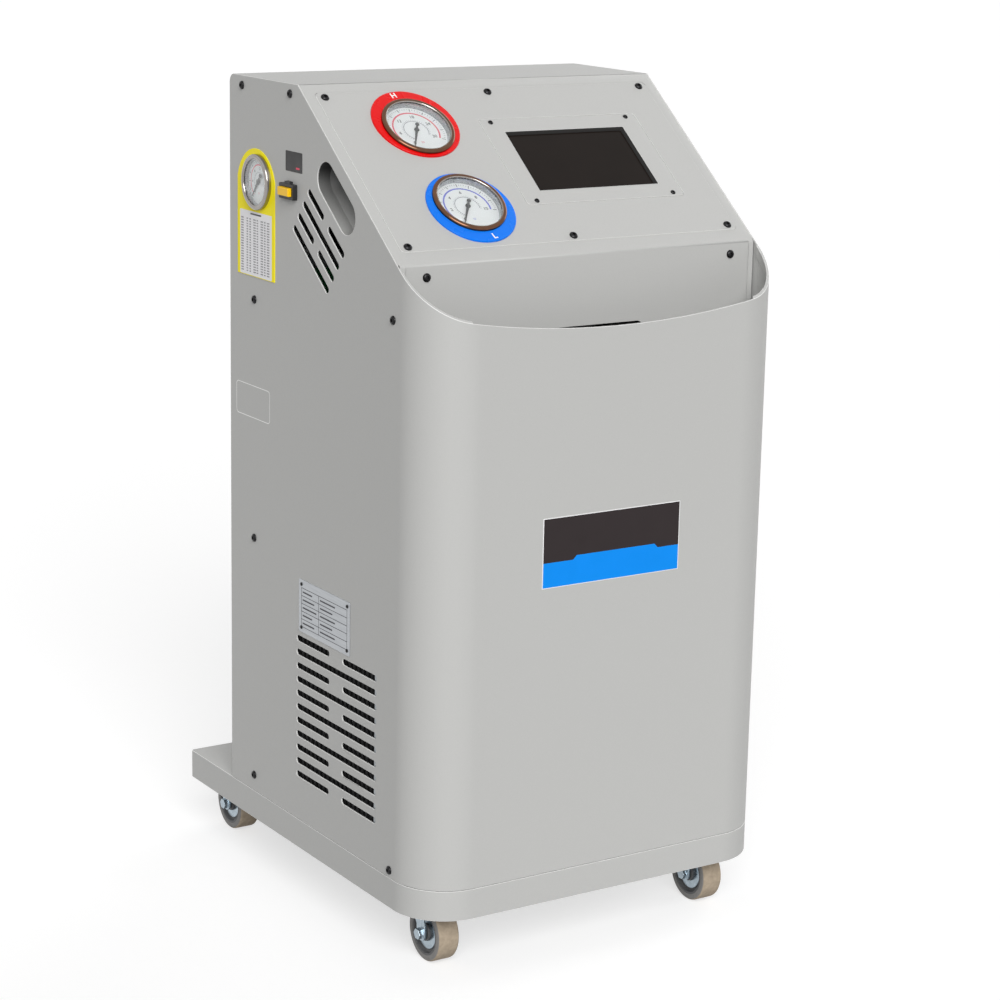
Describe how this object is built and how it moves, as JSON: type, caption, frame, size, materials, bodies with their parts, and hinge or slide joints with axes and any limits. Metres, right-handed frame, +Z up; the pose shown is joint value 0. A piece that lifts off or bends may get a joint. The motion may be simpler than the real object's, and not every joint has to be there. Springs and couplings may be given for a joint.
{
  "type": "air conditioning recharge station",
  "caption": "Sheet steel cabinet on swivel casters with a sloping control panel, touch screen, pressure gauges, tank gauge, handle openings and a scooped front pocket.",
  "frame": {"origin": "on the floor under the middle of the base tray", "axes": "+Z up, +Y from the front to the back, +X to the right seen from the front"},
  "size_m": [0.47, 0.5625, 0.933],
  "materials": {
    "grey_powder_coat": "fine textured powder coat, light grey",
    "dark_powder_coat": "fine textured powder coat, dark grey",
    "black_panel_paint": "satin black enamel",
    "galvanised_steel": "galvanised sheet, uncoated",
    "zinc_plated_steel": "bright zinc plate",
    "chromed_steel": "polished",
    "gauge_glass": "clear flat lens",
    "screen_glass": "dark flat glass",
    "white_dial_enamel": "matt white enamel",
    "needle_paint": "matt black",
    "red_plastic": "moulded gloss red",
    "blue_plastic": "moulded gloss blue",
    "yellow_plate": "printed yellow sheet",
    "yellow_plastic": "moulded yellow",
    "black_plastic": "moulded matt black",
    "silver_label": "anodised plate",
    "caster_tread": "beige-brown polyurethane tread",
    "caster_core": "grey nylon core",
    "tank_paint": "blue enamel",
    "compressor_paint": "black enamel",
    "cast_aluminium": "as cast",
    "copper": "drawn copper tube",
    "machined_brass": "turned and milled brass",
    "circuit_board": "green laminate",
    "clear_plastic": "translucent bottle",
    "handwheel_plastic": "moulded hand wheel"
  },
  "bodies": {
    "cabinet": {"back_panel": "grey_powder_coat", "base_tray": "grey_powder_coat", "bottle_rack": "dark_powder_coat", "caster_plates": "zinc_plated_steel", "compressor": "compressor_paint", "condenser": "cast_aluminium", "control_board": "circuit_board", "control_panel": "grey_powder_coat", "copper_lines": "copper", "display_frame": "grey_powder_coat", "display_module": "black_plastic", "fan_shroud": "galvanised_steel", "filter_drier": "tank_paint", "frame_posts": "galvanised_steel", "gauge_bezels": "chromed_steel", "gauge_cases": "black_panel_paint", "gauge_lenses": "gauge_glass", "handle_cups": "grey_powder_coat", "high_side_collar": "red_plastic", "high_side_dial": "white_dial_enamel", "low_side_collar": "blue_plastic", "low_side_dial": "white_dial_enamel", "mounting_plate": "galvanised_steel", "oil_bottles": "clear_plastic", "power_inlet": "black_plastic", "power_supply": "galvanised_steel", "purge_valve_body": "black_plastic", "rating_plate": "silver_label", "refrigerant_tank": "tank_paint", "scale_platform": "galvanised_steel", "service_ports": "machined_brass", "solenoid_coils": "black_plastic", "tank_dial": "white_dial_enamel", "tank_gauge_plate": "yellow_plate", "top_cover": "grey_powder_coat", "touch_screen": "screen_glass", "vacuum_pump": "cast_aluminium", "valve_block": "machined_brass", "wrap_shell": "grey_powder_coat"},
    "swivel_front_left": {"caster_fork_front_left": "zinc_plated_steel"},
    "wheel_front_left": {"caster_wheel_front_left": "caster_core", "caster_tyre_front_left": "caster_tread"},
    "swivel_rear_left": {"caster_fork_rear_left": "zinc_plated_steel"},
    "wheel_rear_left": {"caster_wheel_rear_left": "caster_core", "caster_tyre_rear_left": "caster_tread"},
    "swivel_front_right": {"caster_fork_front_right": "zinc_plated_steel"},
    "wheel_front_right": {"caster_wheel_front_right": "caster_core", "caster_tyre_front_right": "caster_tread"},
    "swivel_rear_right": {"caster_fork_rear_right": "zinc_plated_steel"},
    "wheel_rear_right": {"caster_wheel_rear_right": "caster_core", "caster_tyre_rear_right": "caster_tread"},
    "high_side_pointer": {"high_side_needle": "needle_paint"},
    "low_side_pointer": {"low_side_needle": "needle_paint"},
    "tank_pointer": {"tank_needle": "needle_paint"},
    "purge_key": {"purge_button": "yellow_plastic"},
    "liquid_valve_wheel": {"liquid_handwheel": "handwheel_plastic"},
    "vapour_valve_wheel": {"vapour_handwheel": "blue_plastic"},
    "fan": {"fan_rotor": "black_plastic"},
    "rocker": {"switch_rocker": "black_plastic"}
  },
  "joints": [
    {"name": "swivel_front_left_turn", "type": "hinge", "parent": "cabinet", "child": "swivel_front_left", "pos_m": [-0.178, -0.194, 0.088], "axis": [0, 0, 1], "continuous": true},
    {"name": "wheel_front_left_roll", "type": "hinge", "parent": "swivel_front_left", "child": "wheel_front_left", "pos_m": [-0.178, -0.216, 0.0325], "axis": [1, 0, 0], "continuous": true},
    {"name": "swivel_rear_left_turn", "type": "hinge", "parent": "cabinet", "child": "swivel_rear_left", "pos_m": [-0.178, 0.23, 0.088], "axis": [0, 0, 1], "continuous": true},
    {"name": "wheel_rear_left_roll", "type": "hinge", "parent": "swivel_rear_left", "child": "wheel_rear_left", "pos_m": [-0.178, 0.252, 0.0325], "axis": [1, 0, 0], "continuous": true},
    {"name": "swivel_front_right_turn", "type": "hinge", "parent": "cabinet", "child": "swivel_front_right", "pos_m": [0.178, -0.194, 0.088], "axis": [0, 0, 1], "continuous": true},
    {"name": "wheel_front_right_roll", "type": "hinge", "parent": "swivel_front_right", "child": "wheel_front_right", "pos_m": [0.178, -0.216, 0.0325], "axis": [1, 0, 0], "continuous": true},
    {"name": "swivel_rear_right_turn", "type": "hinge", "parent": "cabinet", "child": "swivel_rear_right", "pos_m": [0.178, 0.23, 0.088], "axis": [0, 0, 1], "continuous": true},
    {"name": "wheel_rear_right_roll", "type": "hinge", "parent": "swivel_rear_right", "child": "wheel_rear_right", "pos_m": [0.178, 0.252, 0.0325], "axis": [1, 0, 0], "continuous": true},
    {"name": "high_side_needle_sweep", "type": "hinge", "parent": "cabinet", "child": "high_side_pointer", "pos_m": [-0.115, -0.05254, 0.88774], "axis": [0, 0.6117, -0.7911], "range_deg": [0, 270]},
    {"name": "low_side_needle_sweep", "type": "hinge", "parent": "cabinet", "child": "low_side_pointer", "pos_m": [-0.106, -0.1455, 0.81587], "axis": [0, 0.6117, -0.7911], "range_deg": [-20, 250]},
    {"name": "tank_needle_sweep", "type": "hinge", "parent": "cabinet", "child": "tank_pointer", "pos_m": [-0.23, 0.096, 0.8186], "axis": [1, 0, 0], "range_deg": [0, 250]},
    {"name": "purge_push", "type": "slide", "parent": "cabinet", "child": "purge_key", "axis": [1, 0, 0], "range_m": [0, 0.003], "stiffness_N_per_m": 300, "springref_m": -0.001},
    {"name": "liquid_valve_turn", "type": "hinge", "parent": "cabinet", "child": "liquid_valve_wheel", "pos_m": [0.01, 0.048, 0.469], "axis": [1, 0, 0], "continuous": true},
    {"name": "vapour_valve_turn", "type": "hinge", "parent": "cabinet", "child": "vapour_valve_wheel", "pos_m": [0.01, 0.048, 0.469], "axis": [1, 0, 0], "continuous": true},
    {"name": "fan_spin", "type": "hinge", "parent": "cabinet", "child": "fan", "pos_m": [-0.187, -0.072, 0.238], "axis": [1, 0, 0], "continuous": true},
    {"name": "rocker_tilt", "type": "hinge", "parent": "cabinet", "child": "rocker", "pos_m": [0.14, 0.1655, 0.142], "axis": [1, 0, 0], "range_deg": [0, 16]}
  ]
}
